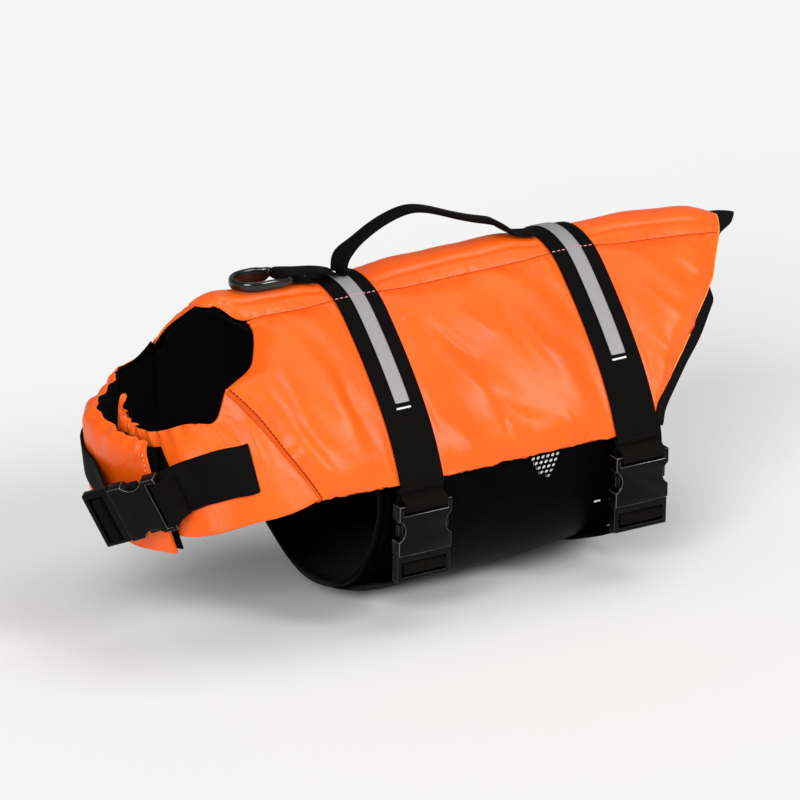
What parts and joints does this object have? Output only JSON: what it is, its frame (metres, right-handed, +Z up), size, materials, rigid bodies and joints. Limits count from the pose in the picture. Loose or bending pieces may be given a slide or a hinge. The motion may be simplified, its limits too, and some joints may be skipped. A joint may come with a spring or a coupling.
{
  "type": "dog life jacket",
  "caption": "Orange dog life jacket filled out as worn: padded back and sides, wrapped chest flaps, black belly panel, webbing belts with buckles, handle and leash ring.",
  "frame": {"origin": "on the lining's inner face at the top of the back, in the middle plane, halfway between the two belts: where the jacket rests on the dog's back", "axes": "+X towards the tail, -X towards the head, +Y to the dog's right side, -Y to its left side, where the buckles are, +Z up"},
  "size_m": [0.6035, 0.2452, 0.2877],
  "materials": {
    "shell_cloth": "orange coated oxford weave over foam",
    "lining_mesh": "black spacer mesh",
    "binding_tape": "black binding tape",
    "belly_cloth": "black matt stretch cloth",
    "webbing": "black woven webbing",
    "reflective_tape": "grey reflective tape",
    "hook_tape": "black hook tape",
    "buckle_plastic": "black moulded plastic, satin",
    "ring_plastic": "black coated, satin gloss"
  },
  "bodies": {
    "jacket": {"back_panel": "shell_cloth", "side_panel_left": "shell_cloth", "side_panel_right": "shell_cloth", "lining": "lining_mesh", "tail_binding": "binding_tape", "chest_flap_left": "shell_cloth", "chest_flap_right": "shell_cloth", "flap_lining_left": "lining_mesh", "flap_lining_right": "lining_mesh", "belly_panel": "belly_cloth", "belly_binding_front": "binding_tape", "belly_binding_rear": "binding_tape", "belt_front": "webbing", "belt_rear": "webbing", "belly_strap_front": "webbing", "belly_strap_rear": "webbing", "reflective_strip_front": "reflective_tape", "reflective_strip_rear": "reflective_tape", "ring_loop": "webbing", "handle": "webbing", "neck_strap_left": "webbing", "neck_strap_right": "webbing", "closing_patch": "hook_tape", "buckle_front_socket": "buckle_plastic", "buckle_front_plug": "buckle_plastic", "buckle_rear_socket": "buckle_plastic", "buckle_rear_plug": "buckle_plastic", "buckle_neck_socket": "buckle_plastic", "buckle_neck_plug": "buckle_plastic"},
    "leash_ring": {"leash_ring": "ring_plastic"}
  },
  "joints": [
    {"name": "ring_hinge", "type": "hinge", "parent": "jacket", "child": "leash_ring", "pos_m": [-0.146, 0, 0.02], "axis": [0, 1, 0], "range_deg": [0, 135]}
  ]
}
